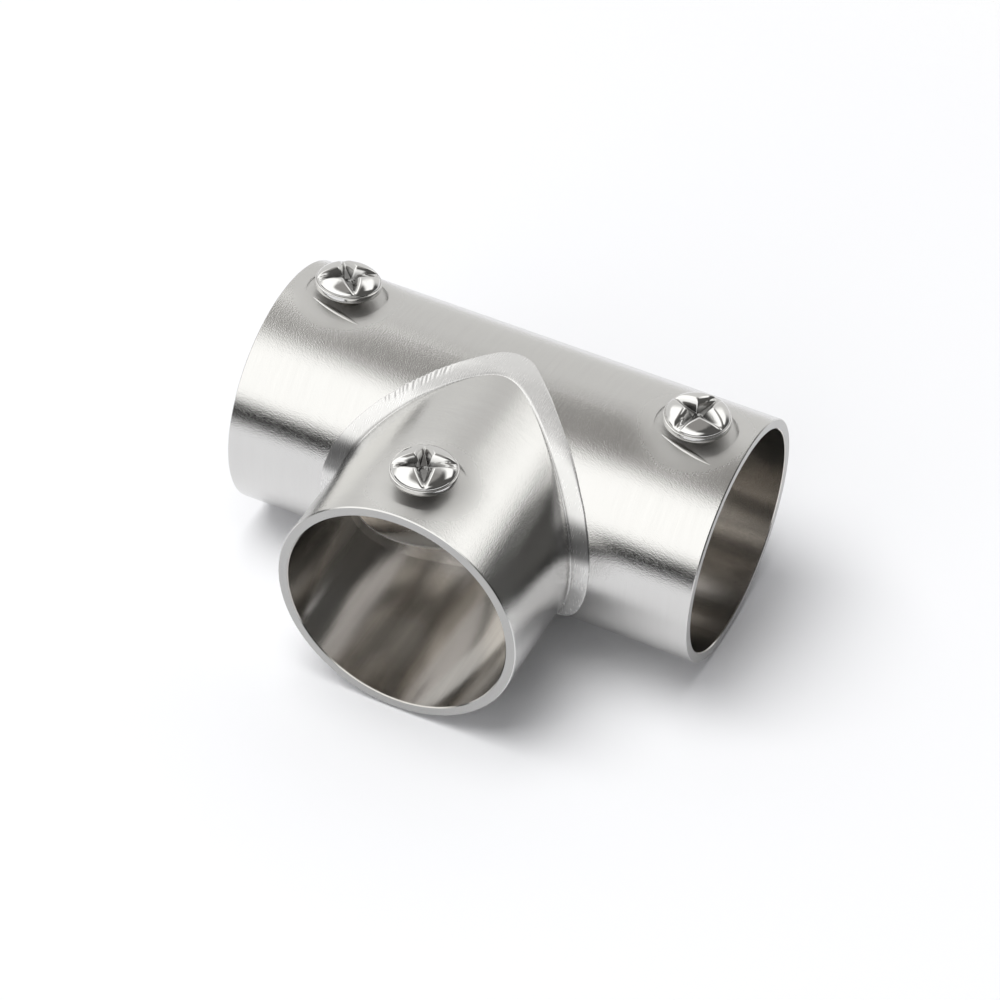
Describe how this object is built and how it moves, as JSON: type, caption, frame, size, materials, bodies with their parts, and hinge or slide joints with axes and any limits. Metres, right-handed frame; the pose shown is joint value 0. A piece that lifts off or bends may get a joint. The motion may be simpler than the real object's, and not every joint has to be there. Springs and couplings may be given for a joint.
{
  "type": "tube connector",
  "caption": "Three-way stainless tube connector: a straight sleeve with a sleeve joined square to its side, welded round the joint, with a cross-recess set screw at each socket.",
  "frame": {"origin": "the point where the axis of the run and the axis of the branch cross", "axes": "+X along the run, -Y out along the branch, +Z towards the screw heads; it lies on the joint's underside"},
  "size_m": [0.07, 0.0527, 0.0393],
  "materials": {
    "tube": "fine satin brush round the tubes",
    "weld": "dressed weld, satin",
    "screw": "bright polish"
  },
  "bodies": {
    "root": {"run_tube": "tube", "branch_tube": "tube", "weld_band": "weld", "left_run_screw": "screw", "right_run_screw": "screw", "branch_screw": "screw"}
  },
  "joints": []
}
